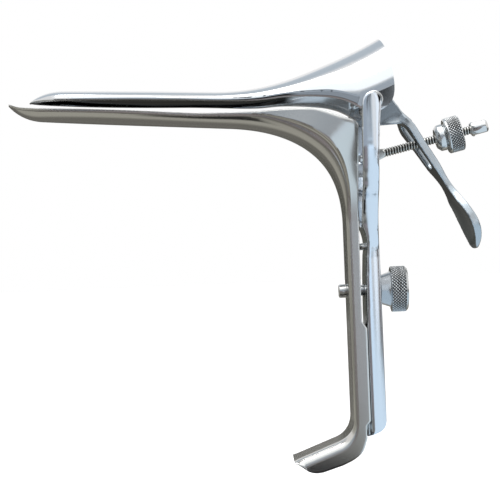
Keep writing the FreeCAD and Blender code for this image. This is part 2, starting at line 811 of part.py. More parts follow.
def build():
    return {
        "lower_blade": make_lower_blade(),
        "upper_blade": make_upper_blade(),
        "frame": make_frame(),
        "thumb_lever": make_thumb_lever(),
        "lever_rivets": make_lever_rivets(),
        "hinge_rivet_near": make_hinge_rivet(-1),
        "hinge_rivet_far": make_hinge_rivet(1),
        "hinge_spacer": make_hinge_spacer(),
        "threaded_rod": make_rod(),
        "rod_pivot_pin": make_pivot_pin(),
        "rod_end_cap": make_end_cap(),
        "thumb_nut": make_thumb_nut(),
        "clamp_bolt": make_clamp_bolt(),
        "clamp_knob": make_clamp_knob(),
        "guide_stud": make_guide_stud(),
    }


os.makedirs("parts", exist_ok=True)
for name, shape in build().items():
    print(name, "valid", shape.isValid(), "solids", len(shape.Solids), "mm3", round(shape.Volume, 1))
    shape.exportStep("parts/%s.step" % name)
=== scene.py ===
import math

import bpy
from mathutils import Matrix, Vector


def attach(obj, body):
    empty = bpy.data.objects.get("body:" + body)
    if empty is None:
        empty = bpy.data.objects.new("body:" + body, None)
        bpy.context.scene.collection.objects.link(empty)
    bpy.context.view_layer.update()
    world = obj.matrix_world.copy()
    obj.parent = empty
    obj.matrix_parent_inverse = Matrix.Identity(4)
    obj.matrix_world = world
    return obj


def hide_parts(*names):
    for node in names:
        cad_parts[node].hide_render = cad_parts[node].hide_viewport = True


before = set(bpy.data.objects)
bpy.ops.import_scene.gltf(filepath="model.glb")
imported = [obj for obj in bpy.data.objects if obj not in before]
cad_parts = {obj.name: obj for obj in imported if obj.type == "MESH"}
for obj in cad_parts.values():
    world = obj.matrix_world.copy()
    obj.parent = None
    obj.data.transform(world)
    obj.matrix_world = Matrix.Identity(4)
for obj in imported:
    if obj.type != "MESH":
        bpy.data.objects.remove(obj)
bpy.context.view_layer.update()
mm = 0.001

# Places that the pieces share, in millimetres like the drawing
hingePlace = Vector((4.4, 0, 66.8))
pivotPlace = Vector((2.5, 28.4, 49.1))
rodRise = 12.7  # degrees above level
sheetWall = 1.2
rivetEnd = 26.1


# Working tools


def leaveEdit():
    bpy.ops.object.mode_set(mode="OBJECT")


def deselect():
    if bpy.context.object and bpy.context.object.mode != "OBJECT":
        leaveEdit()
    bpy.ops.object.select_all(action="DESELECT")


def makeActive(piece):
    deselect()
    piece.select_set(True)
    bpy.context.view_layer.objects.active = piece


def editAll(piece):
    # edit mode with everything selected
    makeActive(piece)
    bpy.ops.object.mode_set(mode="EDIT")
    bpy.ops.mesh.select_all(action="SELECT")


def addObject(name, data):
    piece = bpy.data.objects.new(name, data)
    bpy.context.scene.collection.objects.link(piece)
    return piece


def applyAll(piece):
    makeActive(piece)
    for modifier in list(piece.modifiers):
        bpy.ops.object.modifier_apply(modifier=modifier.name)


def joinInto(piece, others):
    deselect()
    for each in others + [piece]:
        each.select_set(True)
    bpy.context.view_layer.objects.active = piece
    bpy.ops.object.join()


def roundEdges(piece, width, degrees=40, segments=3):
    bevel = piece.modifiers.new("roundEdges", "BEVEL")
    bevel.width = width * mm
    bevel.segments = segments
    bevel.limit_method = "ANGLE"
    bevel.angle_limit = math.radians(degrees)
    bevel.harden_normals = False
    applyAll(piece)


def finishPiece(piece, body, material, node, degrees=35):
    # degrees: edges sharper than this stay sharp
    makeActive(piece)
    bpy.ops.object.shade_smooth_by_angle(angle=math.radians(degrees))
    piece.data.materials.clear()
    piece.data.materials.append(material)
    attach(piece, body)
    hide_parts(node)
    print("finished", piece.name, len(piece.data.polygons), "faces")


def smoothStep(share):
    share = min(max(share, 0.0), 1.0)
    return share * share * (3 - 2 * share)


def mix(start, end, share):
    return start + (end - start) * share


def heading(degrees):
    angle = math.radians(degrees)
    return Vector((math.cos(angle), 0, math.sin(angle)))


def smoothRun(points, steps=10):
    # a curve through the points, as a list of places
    spots = [Vector(p) for p in points]
    spots = [spots[0] * 2 - spots[1]] + spots + [spots[-1] * 2 - spots[-2]]
    run = []
    for i in range(1, len(spots) - 2):
        a, b, c, d = spots[i - 1 : i + 3]
        for step in range(steps):
            t = step / steps
            run.append(
                0.5 * ((2 * b) + (c - a) * t + (2 * a - 5 * b + 4 * c - d) * t**2
                       + (3 * b - a - 3 * c + d) * t**3)
            )
    return run + [spots[-2]]


def bezierPlace(a, b, c, d, t):
    # the place on the curve and its direction there
    s = 1 - t
    place = a * s**3 + b * 3 * s * s * t + c * 3 * s * t * t + d * t**3
    way = (b - a) * s * s + (c - b) * 2 * s * t + (d - c) * t * t
    return place, way.normalized()


def lineAt(line, z):
    # the first value of a rising line of (value, height) places, at height z
    for a, b in zip(line, line[1:]):
        if a[1] <= z <= b[1]:
            return mix(a[0], b[0], (z - a[1]) / max(b[1] - a[1], 1e-6))
    return line[0][0] if z < line[0][1] else line[-1][0]


def reachTo(origin, rise, outline, farthest=40.0, parallel=1e-9, slack=1e-6):
    # how far the ray from origin along rise goes before it meets the outline
    best = farthest
    for a, b in zip(outline, outline[1:]):
        ax, az = a[0] - origin.x, a[1] - origin.z
        bx, bz = b[0] - a[0], b[1] - a[1]
        cross = rise.x * bz - rise.z * bx
        if abs(cross) < parallel:
            continue
        far = (ax * bz - az * bx) / cross
        share = (ax * rise.z - az * rise.x) / cross
        if -slack <= share <= 1 + slack and 0 < far < best:
            best = far
    return best if best < farthest else 0.0


def gridPiece(name, rows):
    # a sheet of quads through rows of places in millimetres
    along, across = len(rows), len(rows[0])
    deselect()
    bpy.ops.mesh.primitive_grid_add(
        x_subdivisions=across - 1, y_subdivisions=along - 1, size=1)
    piece = bpy.context.object
    piece.name = name
    for vertex in piece.data.vertices:
        column = round((vertex.co.x + 0.5) * (across - 1))
        row = round((vertex.co.y + 0.5) * (along - 1))
        vertex.co = rows[row][column] * mm
    return piece


def addPaintedShade(piece, amount):
    # how much painted shade (the 'film' attribute) each vertex gets, as a function of the vertex
    film = piece.data.attributes.new("film", "FLOAT", "POINT")
    for vertex in piece.data.vertices:
        film.data[vertex.index].value = amount(vertex)


# How a pressed section is drawn: steps in each arc, columns in each part, and limits
section = {
    "bellySteps": 16, "hollowSteps": 8, "creaseSteps": 6,
    "floorColumns": 14, "creaseColumns": 12, "wallColumns": 5,
    "fill": 0.9, "headroom": 0.4, "lip": 0.5, "lipShare": 0.5,
    "margin": 0.5, "lowShare": 0.4, "topShare": 0.9,
    "wallToHalf": 0.45, "wallToHeight": 0.6, "rimRound": 0.3, "rimEase": 0.3,
}
insideColumns = section["floorColumns"] + section["creaseColumns"] + section["wallColumns"]


def quarterTurn(steps, first=1):
    return [math.radians(90 * i / steps) for i in range(first, steps + 1)]


def sectionSide(half, corner, step, height):
    # half of a pressed section, from the middle of the floor out and up to the rim
    d = section
    cornerWide, cornerHigh = corner
    squash = min(1.0, d["fill"] * height / (cornerHigh + d["headroom"]))
    high = cornerHigh * squash
    step = step * squash
    belly = half - step
    lip = min(d["lip"], step * d["lipShare"])
    line = [Vector((0, 0))]
    for t in quarterTurn(d["bellySteps"], 0):
        line.append(Vector((belly - cornerWide * (1 - math.sin(t)),
                            (high - step) * (1 - math.cos(t)))))
    underCrease = len(line) - 1
    inner = step - lip
    for t in quarterTurn(d["hollowSteps"]):  # the hollow under the crease
        line.append(Vector((belly + inner * (1 - math.cos(t)),
                            high - step + inner * math.sin(t))))
    for t in quarterTurn(d["creaseSteps"]):  # the crease itself
        line.append(Vector((half - lip + lip * math.sin(t),
                            high - lip + lip * (1 - math.cos(t)))))
    line.append(Vector((half, height)))
    reach = [0.0]
    for a, b in zip(line, line[1:]):
        reach.append(reach[-1] + (b - a).length)
    low = max(reach[underCrease] - d["margin"], reach[-1] * d["lowShare"])
    top = min(reach[-2] + d["margin"], reach[-1] * d["topShare"])
    floors, creases, walls = d["floorColumns"], d["creaseColumns"], d["wallColumns"]
    stops = [low * i / floors for i in range(floors)]
    stops += [mix(low, top, i / creases) for i in range(creases)]
    stops += [mix(top, reach[-1], i / walls) for i in range(walls + 1)]
    side, k = [], 0
    for stop in stops:
        while k < len(reach) - 2 and reach[k + 1] < stop:
            k += 1
        share = (stop - reach[k]) / max(reach[k + 1] - reach[k], 1e-9)
        side.append(line[k].lerp(line[k + 1], min(max(share, 0.0), 1.0)))
    return side


def troughRow(origin, rise, half, corner, step, height):
    # a closed section of the sheet: outside, rounded rim, inside
    d = section
    side = sectionSide(half, corner, step, height)
    wall = min(sheetWall, half * d["wallToHalf"], height * d["wallToHeight"])
    inside, last = [], Vector((0, 0))
    for i, spot in enumerate(side):
        along = side[min(i + 1, len(side) - 1)] - side[max(i - 1, 0)]
        along.normalize()
        place = spot + Vector((-along.y, along.x)) * wall
        place = Vector((max(place.x, last.x), max(place.y, last.y)))
        inside.append(place)
        last = place
    bend = wall * d["rimRound"]
    ease = bend * d["rimEase"]
    side[-1] = Vector((half, height - bend))
    inside[-1] = Vector((half - wall, height - bend))
    rim = [Vector((half - ease, height - ease)), Vector((half - bend, height)),
           Vector((half - wall + bend, height)), Vector((half - wall + ease, height - ease))]
    loop = side + rim + inside[::-1]
    loop += [Vector((-p.x, p.y)) for p in loop[::-1]][1:]
    return [origin + rise * p.y + Vector((0, p.x, 0)) for p in loop]


def closeSheet(piece, reach=0.000004):
    # merge the loops' seams and close the two ends
    editAll(piece)
    bpy.ops.mesh.select_mode(type="EDGE")
    bpy.ops.mesh.remove_doubles(threshold=reach)
    bpy.ops.mesh.select_all(action="DESELECT")
    bpy.ops.mesh.select_non_manifold()
    bpy.ops.mesh.edge_face_add()
    bpy.ops.mesh.select_all(action="SELECT")
    bpy.ops.mesh.normals_make_consistent(inside=False)
    leaveEdit()


def cutWith(piece, cutter):
    cut = piece.modifiers.new("cut", "BOOLEAN")
    cut.operation = "DIFFERENCE"
    cut.solver = "EXACT"
    cut.object = cutter
    applyAll(piece)
    bpy.data.objects.remove(cutter)


def nodeCopy(node, name, reach=0.000002, flat=0.6):
    # a merged copy of a node of the drawing, ready for rounding
    piece = addObject(name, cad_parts[node].data.copy())
    editAll(piece)
    bpy.ops.mesh.remove_doubles(threshold=reach)
    bpy.ops.mesh.dissolve_limited(angle_limit=math.radians(flat))
    leaveEdit()
    return piece


print("tools ready")


# Steel finishes


def newGroup(name, inputs, outputs):
    tree = bpy.data.node_groups.new(name, "ShaderNodeTree")
    for socketName, kind, value in inputs:
        socket = tree.interface.new_socket(socketName, in_out="INPUT", socket_type=kind)
        if value is not None:
            socket.default_value = value
    for socketName, kind in outputs:
        tree.interface.new_socket(socketName, in_out="OUTPUT", socket_type=kind)
    return tree, tree.nodes.new("NodeGroupInput"), tree.nodes.new("NodeGroupOutput")


def newMaterial(name):
    material = bpy.data.materials.new(name)
    material.use_nodes = True
    return material, material.node_tree, material.node_tree.nodes["Principled BSDF"]


def addNode(tree, kind, **values):
    node = tree.nodes.new(kind)
    for key, value in values.items():
        if key in node.inputs:
            node.inputs[key].default_value = value
        else:
            setattr(node, key, value)
    return node


def mathNode(tree, operation, first, second=None, third=None):
    node = addNode(tree, "ShaderNodeMath", operation=operation)
    for socket, value in zip(node.inputs, (first, second, third)):
        if value is None:
            continue
        if isinstance(value, (int, float)):
            socket.default_value = value
        else:
            tree.links.new(value, socket)
    return node.outputs[0]


def textureNode(tree, kind, vector, output, **values):
    node = addNode(tree, kind, **values)
    tree.links.new(vector, node.inputs["Vector"])
    return node.outputs[output]


def rangeNode(tree, value, start, end, low=0.0, high=1.0, kind="LINEAR"):
    node = addNode(tree, "ShaderNodeMapRange", interpolation_type=kind, **{
        "From Min": start, "From Max": end, "To Min": low, "To Max": high})
    tree.links.new(value, node.inputs["Value"])
    return node.outputs[0]


def colourNode(tree, factor, first, second):
    # first and second are colours or sockets
    node = addNode(tree, "ShaderNodeMix", data_type="RGBA")
    for name, value in (("A", first), ("B", second)):
        if isinstance(value, tuple):
            node.inputs[name].default_value = value + (1,)
        else:
            tree.links.new(value, node.inputs[name])
    tree.links.new(factor, node.inputs["Factor"])
    return node.outputs["Result"]


polish = {
    "fineScale": 2600.0, "wideScale": 90.0, "speckScale": 420.0, "speckSize": 0.16,
    "rareScale": 170.0, "rareFrom": 0.6, "rareTo": 0.68, "shade": 0.35, "speckDepth": 0.6,
}


def buildPolishGroup():
    # long polishing marks, a soft cloudiness and small specks
    d = polish
    tree, start, end = newGroup(
        "polishMarks",
        [("Vector", "NodeSocketVector", None), ("Stretch", "NodeSocketVector", (1, 1, 1)),
         ("Marks", "NodeSocketFloat", 0.3), ("Cloud", "NodeSocketFloat", 0.3),
         ("Specks", "NodeSocketFloat", 0.2)],
        [("Shade", "NodeSocketFloat"), ("Rough", "NodeSocketFloat"),
         ("Height", "NodeSocketFloat")],
    )
    links = tree.links
    place = start.outputs["Vector"]
    noise = "ShaderNodeTexNoise"
    stretched = addNode(tree, "ShaderNodeVectorMath", operation="MULTIPLY")
    links.new(place, stretched.inputs[0])
    links.new(start.outputs["Stretch"], stretched.inputs[1])
    fine = textureNode(tree, noise, stretched.outputs[0], "Fac",
                       Scale=d["fineScale"], Detail=3.0, Roughness=0.6)
    wide = textureNode(tree, noise, place, "Fac", Scale=d["wideScale"], Detail=4.0, Roughness=0.55)
    rare = textureNode(tree, noise, place, "Fac", Scale=d["rareScale"], Detail=1.0)
    specks = textureNode(tree, "ShaderNodeTexVoronoi", place, "Distance", Scale=d["speckScale"])
    dots = rangeNode(tree, specks, 0.0, d["speckSize"], 1.0, 0.0)
    dot = mathNode(tree, "MULTIPLY", dots, rangeNode(tree, rare, d["rareFrom"], d["rareTo"]))
    dot = mathNode(tree, "MULTIPLY", dot, start.outputs["Specks"])
    marks = mathNode(tree, "SUBTRACT", fine, 0.5)
    marks = mathNode(tree, "MULTIPLY", marks, start.outputs["Marks"])
    cloud = mathNode(tree, "SUBTRACT", wide, 0.5)
    cloud = mathNode(tree, "MULTIPLY", cloud, start.outputs["Cloud"])
    both = mathNode(tree, "ADD", marks, cloud)
    shade = mathNode(tree, "SUBTRACT", 1.0, dot)
    shade = mathNode(tree, "ADD", shade, mathNode(tree, "MULTIPLY", both, d["shade"]))
    sunk = mathNode(tree, "MULTIPLY", dot, d["speckDepth"])
    links.new(shade, end.inputs["Shade"])
    links.new(mathNode(tree, "ADD", both, dot), end.inputs["Rough"])
    links.new(mathNode(tree, "SUBTRACT", marks, sunk), end.inputs["Height"])
    return tree


polishGroup = buildPolishGroup()

# What all the steels share: worn places are duller, marks change the roughness, and 'film' is the
# dark colour of painted shade
steel = {
    "wornTint": (0.9, 0.9, 0.88), "wornShade": 0.82, "film": (0.035, 0.036, 0.036),
    "paintedShadeFrom": 0.04, "roughFrom": -0.3, "roughTo": 0.5, "roughLow": 0.75, "roughHigh": 1.5,
    "relief": 0.00005,
}


def steelMaterial(name, colour, rough, stretch, marks, cloud, specks, bump, paintedShadeAt=None):
    # paintedShadeAt: the amount of painted shade on a vertex at which its dark colour fully covers
    # the steel
    d = steel
    material, tree, principled = newMaterial(name)
    links = tree.links
    principled.inputs["Metallic"].default_value = 1.0
    place = tree.nodes.new("ShaderNodeTexCoord")
    marking = tree.nodes.new("ShaderNodeGroup")
    marking.node_tree = polishGroup
    for key, value in (("Stretch", stretch), ("Marks", marks), ("Cloud", cloud),
                       ("Specks", specks)):
        marking.inputs[key].default_value = value
    links.new(place.outputs["Object"], marking.inputs["Vector"])
    worn = tuple(c * t * d["wornShade"] for c, t in zip(colour, d["wornTint"]))
    finish = colourNode(tree, marking.outputs["Shade"], worn, colour)
    if paintedShadeAt:
        # painted shade: cut grooves, the upper blade's inside and the lever's underside are
        # darkened by the 'film' attribute
        paintedShadeAmount = tree.nodes.new("ShaderNodeAttribute")
        paintedShadeAmount.attribute_name = "film"
        paintedShadeCover = rangeNode(tree, paintedShadeAmount.outputs["Fac"], d["paintedShadeFrom"], paintedShadeAt)
        finish = colourNode(tree, paintedShadeCover, finish, d["film"])
    links.new(finish, principled.inputs["Base Color"])
    spread = rangeNode(tree, marking.outputs["Rough"], d["roughFrom"], d["roughTo"],
                       rough * d["roughLow"], rough * d["roughHigh"])
    links.new(spread, principled.inputs["Roughness"])
    relief = addNode(tree, "ShaderNodeBump", Strength=bump, Distance=d["relief"])
    links.new(marking.outputs["Height"], relief.inputs["Height"])
    links.new(relief.outputs[0], principled.inputs["Normal"])
    return material


lowerSteel = steelMaterial(
    "lowerBladeSatin", (0.62, 0.61, 0.585), rough=0.22, stretch=(0.15, 1, 1),
    marks=0.12, cloud=0.2, specks=0.08, bump=0.05)
upperSteel = steelMaterial(
    "upperBladePolish", (0.68, 0.69, 0.70), rough=0.12, stretch=(0.15, 1, 1),
    marks=0.08, cloud=0.15, specks=0.08, bump=0.02, paintedShadeAt=1.0)
frameSteel = steelMaterial(
    "frameForging", (0.68, 0.72, 0.77), rough=0.15, stretch=(1, 1, 0.2),
    marks=0.1, cloud=0.35, specks=0.12, bump=0.05)
leverSteel = steelMaterial(
    "leverForging", (0.43, 0.47, 0.50), rough=0.2, stretch=(1, 1, 0.3),
    marks=0.12, cloud=0.6, specks=0.15, bump=0.08, paintedShadeAt=1.0)
turnedSteel = steelMaterial(
    "turnedBright", (0.62, 0.62, 0.61), rough=0.16, stretch=(0.2, 1, 1),
    marks=0.15, cloud=0.2, specks=0.1, bump=0.05)
# the knurled heads and the thread get painted shade in their grooves through paintedShadeAt
knurlSteel = steelMaterial(
    "knurledHeads", (0.60, 0.61, 0.61), rough=0.2, stretch=(1, 1, 1),
    marks=0.1, cloud=0.2, specks=0.1, bump=0.04, paintedShadeAt=0.26)
threadSteel = steelMaterial(
    "threadSteel", (0.52, 0.51, 0.48), rough=0.2, stretch=(1, 1, 1),
    marks=0.15, cloud=0.3, specks=0.1, bump=0.05, paintedShadeAt=0.3)
print("finishes ready")


# Lower blade, throat, handle and thumb rest: one pressing

# What both blades share: how their stations crowd at the tip, and their sections
blade = {
    "first": 0.01, "crowd": 1.5, "tipCurve": 2.5, "leastHalf": 0.05,
    "cornerWide": 0.88, "cornerHigh": 0.5, "noCrease": 0.02,
}
lowerBlade = {
    "tipX": -126.6, "rise": 4.3, "edge": 3.9, "tipLen": 13.0, "tipLift": 5.0,
    "half": 16.0, "waist": 14.3, "waistRun": 6, "tipRun": 42.0, "trough": 4.7,
    "throatX": -46.2, "throatZ": 60.7, "throatOut": 27.0, "throatDown": 24.0,
    "throatHalf": 21.0, "crease": 5.8, "creaseWide": 1.3, "step": 2.2, "wallBack": -1.1,
    "wallDrop": 6.4, "handleFace": -6.2, "handleTop": 24.0, "handleHalf": 11.3,
    "handleCorner": 1.8, "flangeStep": -12.4, "relief": -2.3, "flangeX": -0.1, "foot": -46.4,
    "restTop": -45.6, "restBend": 8.5, "restLen": 17.5, "restDrop": 21.0, "restDepth": 7.6,
    "restCorner": 3.6, "restEnd": 0.999, "leastHeight": 0.9,
    "slotHalf": 2.15, "slotTravel": 22.0, "slotCut": 6,
    "bladeRows": 90, "throatRows": 110, "handleRows": 56, "bendRows": 30, "restRows": 26,
}


def bladeHalf(x, tipX):
    d = lowerBlade
    fromTip = x - tipX
    if fromTip < d["tipRun"]:
        return d["half"] * math.sqrt(1 - (1 - fromTip / d["tipRun"]) ** 2)
    waistAt = d["throatX"] - d["waistRun"]
    share = smoothStep((fromTip - d["tipRun"]) / (waistAt - tipX - d["tipRun"]))
    return mix(d["half"], d["waist"], share)


def bladeCorner(half, trough):
    return half * blade["cornerWide"], min(trough, half * blade["cornerHigh"])


def restPlaces():
    # the thumb rest's bend centre, where the bend ends, the rest's end, and its outward side
    d = lowerBlade
    down = heading(d["restDrop"] - 90)
    forward = Vector((down.z, 0, -down.x))
    centre = Vector((d["handleFace"] - d["restBend"], 0, d["restTop"]))
    start = centre + down * d["restBend"]
    return centre, start, start + forward * d["restLen"], down


def bladeStations():
    d = lowerBlade
    ahead, rise = heading(-d["rise"]), heading(90 - d["rise"])
    start = Vector((d["throatX"], 0, d["throatZ"]))
    length = (d["throatX"] - d["tipX"]) / ahead.x
    stations = []
    for i in range(d["bladeRows"]):
        back = blade["first"] + (length - blade["first"]) * (
            i / d["bladeRows"]) ** blade["crowd"]
        lift = d["tipLift"] * max(1 - back / d["tipLen"], 0) ** blade["tipCurve"]
        origin = start - ahead * (length - back) + rise * lift
        half = max(bladeHalf(d["tipX"] + back, d["tipX"]), blade["leastHalf"])
        stations.append((origin, rise, half, bladeCorner(half, d["trough"]), blade["noCrease"]))
    return stations


def throatStations():
    # the sheet widens into the throat, where it has a crease, and narrows into the handle
    d = lowerBlade
    ahead = heading(-d["rise"])
    start = Vector((d["throatX"], 0, d["throatZ"]))
    face = Vector((d["handleFace"], 0, d["handleTop"]))
    pulls = (start + ahead * d["throatOut"], face + Vector((0, 0, d["throatDown"])))
    stations = []
    for i in range(d["throatRows"]):
        share = i / d["throatRows"]
        origin, way = bezierPlace(start, pulls[0], pulls[1], face, share)
        rise = Vector((-way.z, 0, way.x))
        if share < 0.5:
            widen, foot = smoothStep(share / 0.5), d["waist"]
            flat = (d["waist"] * blade["cornerWide"], d["trough"])
        else:
            widen, foot = smoothStep((1 - share) / 0.5), d["handleHalf"]
            flat = (d["handleCorner"],) * 2
        corner = (mix(flat[0], d["crease"] * d["creaseWide"], widen),
                  mix(flat[1], d["crease"], widen))
        half = mix(foot, d["throatHalf"], widen)
        stations.append((origin, rise, half, corner, mix(blade["noCrease"], d["step"], widen)))
    return stations


def handleStations():
    d = lowerBlade
    half, plain = d["handleHalf"], blade["noCrease"]
    corner = (d["handleCorner"],) * 2
    stations = []
    for i in range(d["handleRows"]):
        z = mix(d["handleTop"], d["restTop"], i / d["handleRows"])
        stations.append((Vector((d["handleFace"], 0, z)), Vector((1, 0, 0)), half, corner, plain))
    centre, bendEnd, end, down = restPlaces()
    for i in range(d["bendRows"]):
        share = i / d["bendRows"]
        rise = heading((d["restDrop"] - 90) * i / d["bendRows"])
        bend = mix(d["handleCorner"], d["restCorner"], smoothStep(share))
        stations.append((centre + rise * d["restBend"], rise, half, (bend, bend), plain))
    corner = (d["restCorner"],) * 2
    for i in range(d["restRows"] + 1):
        origin = bendEnd.lerp(end, i / d["restRows"] * d["restEnd"])
        stations.append((origin, down, half, corner, plain))
    return stations


def lowerOutline():
    # the rim of the pressing from the blade's tip round to the thumb rest's end
    d = lowerBlade
    tip, throatX, wallBack = d["tipX"], d["throatX"], d["wallBack"]
    cornerZ = hingePlace.z - d["wallDrop"]

    def edge(x):
        return d["throatZ"] + (throatX - x) * math.tan(math.radians(d["rise"])) + d["edge"]

    outline = smoothRun([
        (tip - 1, edge(tip) + 1.9), (tip + 1, edge(tip) + 1.6),
        (tip + 5, edge(tip + 5) + 0.5), (tip + 12, edge(tip + 12))])
    # the blade's edge, the throat's lip and its rear corner
    outline += smoothRun([
        (throatX - 12, edge(throatX - 12)), (throatX + 7.4, 65.2), (throatX + 26.2, 65.4),
        (throatX + 31.7, 64.8), (throatX + 38.3, 62.2), (wallBack - 1.5, cornerZ)])
    # down the handle's flange, with the relief above its step
    outline += [Vector(p) for p in (
        (wallBack, cornerZ - 1.5), (wallBack - 0.5, d["handleTop"] + 6),
        (d["relief"] + 0.4, d["flangeStep"] + 1.6), (d["flangeX"], d["flangeStep"] - 0.9),
        (d["flangeX"], d["foot"]), (-1.7, d["foot"] - 1.6))]
    # round the heel and along the thumb rest's under edge
    bendEnd, end, down = restPlaces()[1:]
    low = end + down * d["restDepth"]
    lowBend = bendEnd + down * d["restDepth"]
    outline += smoothRun([
        (-1.6, d["restTop"] - 7.0), (-3.3, d["restTop"] - 11.4),
        (lowBend.x + 2.6, lowBend.z + 0.9), (lowBend.x - 1.5, lowBend.z - 1.1)])
    outline += smoothRun([
        (low.x + 7.5, low.z + 2.9), (low.x + 5.1, low.z + 2.7), (low.x + 2.4, low.z + 3.3),
        (low.x + 0.6, low.z + 4.6), (end.x, end.z)])
    return outline


def slotCutter():
    d = lowerBlade
    deselect()
    bpy.ops.mesh.primitive_cylinder_add(
        vertices=48, radius=d["slotHalf"] * mm, depth=d["slotCut"] * mm,
        location=(d["handleFace"] * mm, 0, 0), rotation=(0, math.radians(90), 0))
    cutter = bpy.context.object
    bpy.ops.object.transform_apply(location=True, rotation=True, scale=True)
    for vertex in cutter.data.vertices:
        if vertex.co.z > 1e-6:
            vertex.co.z += d["slotTravel"] * mm
    return cutter


def makeLowerPressing():
    outline = lowerOutline()
    rows = []
    for origin, rise, half, corner, step in bladeStations() + throatStations() + handleStations():
        height = max(reachTo(origin, rise, outline), lowerBlade["leastHeight"])
        rows.append(troughRow(origin, rise, half, corner, step, height))
    piece = gridPiece("lowerPressing", rows)
    closeSheet(piece)
    cutWith(piece, slotCutter())
    finishPiece(piece, "lower_body", lowerSteel, "lower_blade")


makeLowerPressing()


# Upper blade and bell: one pressing

upperBlade = {
    "tipX": -118.6, "crown": 76.09, "runX": -102.0, "fall": 2.7, "depth": 4.1,
    "tipLen": 14.0, "tipDrop": 4.3, "trough": 4.7, "leastHeight": 0.3,
    "bellX": -52.0, "crownX": -6.0, "crownZ": 84.3, "slope": 23.9,
    "pullOut": 18, "pullBack": 17.5, "bellHalf": 22.4, "bellSide": 0.8, "dome": 18.5,
    "mouth": 8.2, "wideBefore": 3, "flareX": -22, "flareCurve": 1.5,
    "bladeRows": 80, "bellRows": 90, "mouthRows": 30,
    # where the painted shade inside the blade thins out under the bell
    "clearX": -26, "clearOver": 5, "cleared": 0.7,
}


def crownAt(x):
    d = upperBlade
    return d["crown"] - (x - d["runX"]) * math.tan(math.radians(d["fall"]))


def upperStations():
    d = upperBlade
    tipX, bellX = d["tipX"], d["bellX"]
    stations = []
    for i in range(d["bladeRows"]):
        x = tipX + blade["first"] + (bellX - tipX) * (i / d["bladeRows"]) ** blade["crowd"]
        back = x - tipX
        drop = d["tipDrop"] * max(1 - back / d["tipLen"], 0) ** blade["tipCurve"]
        half = max(bladeHalf(x, tipX), blade["leastHalf"])
        stations.append((Vector((x, 0, crownAt(x) - drop)), half, bladeCorner(half, d["trough"])))
    start = Vector((bellX, 0, crownAt(bellX)))
    end = Vector((d["crownX"], 0, d["crownZ"]))
    slope = heading(d["slope"])
    pulls = (start + heading(-d["fall"]) * d["pullOut"], end - slope * d["pullBack"])
    bellRows, mouthRows = d["bellRows"], d["mouthRows"]
    places = [bezierPlace(start, pulls[0], pulls[1], end, i / bellRows)[0]
              for i in range(bellRows)]
    rimFar = (d["mouth"] - d["crownX"]) / slope.x
    places += [end + slope * (rimFar * i / mouthRows) for i in range(mouthRows + 1)]
    for place in places:
        widen = smoothStep((place.x - bellX) / (hingePlace.x - bellX - d["wideBefore"]))
        half = mix(lowerBlade["waist"], d["bellHalf"], widen)
        corner = (mix(half * blade["cornerWide"], half - d["bellSide"], widen),
                  mix(d["trough"], d["dome"], widen**2))
        stations.append((place, half, corner))
    return stations


def upperEdge():
    # the lower edge of the blade and the bell, seen from the side
    d = upperBlade
    tip, bell, far, z = d["tipX"], d["bellX"], d["mouth"], hingePlace.z

    def edge(x):
        return crownAt(x) - d["depth"]

    return [Vector((tip - 1, edge(tip) - 0.2)), Vector((bell - 10, edge(bell - 10)))] + smoothRun(
        [(bell - 10, edge(bell - 10)), (bell + 13.4, z + 2.1), (bell + 26.0, z + 2.7),
         (bell + 37.5, z + 2.1), (bell + 44.2, z + 0.7), (0.1, z - 2.9), (6.6, z - 3.8),
         (far + 0.5, z - 3.6)])


def mouthRim():
    # how far back the mouth's rim stands at each height
    far, hinge = upperBlade["mouth"], hingePlace.z
    crown = upperBlade["crownZ"] + (far - upperBlade["crownX"]) * math.tan(
        math.radians(upperBlade["slope"]))
    return smoothRun([
        (6.6, hinge - 3.8), (far + 1.9, hinge - 1.4), (far + 3.4, hinge + 1.5),
        (far + 3.7, hinge + 5.5), (far + 3.2, hinge + 11), (far + 2.0, crown - 6),
        (far, crown + 0.1)])


def makeUpperPressing():
    d = upperBlade
    outline, rim = upperEdge(), mouthRim()
    down = Vector((0, 0, -1))
    rows = []
    for origin, half, corner in upperStations():
        height = max(reachTo(origin, down, outline), d["leastHeight"])
        row = troughRow(origin, down, half, corner, blade["noCrease"], height)
        share = smoothStep((origin.x - d["flareX"]) / (d["mouth"] - d["flareX"]))
        for place in row:
            place.x += (lineAt(rim, place.z) - d["mouth"]) * share ** d["flareCurve"]
        rows.append(row)
    piece = gridPiece("upperPressing", rows)
    across = len(rows[0])

    def insidePaintedShade(vertex):
        # painted shade on the inside, dark along the blade and thinning under the bell
        if abs(vertex.index % across - across // 2) > insideColumns:
            return 0
        place = vertex.co / mm
        return 1 - d["cleared"] * smoothStep((place.x - d["clearX"]) / d["clearOver"])

    addPaintedShade(piece, insidePaintedShade)
    closeSheet(piece)
    finishPiece(piece, "upper_body", upperSteel, "upper_blade")


makeUpperPressing()
print("blades ready")


# Forgings: the drawing's shape, softened all over as polishing leaves it

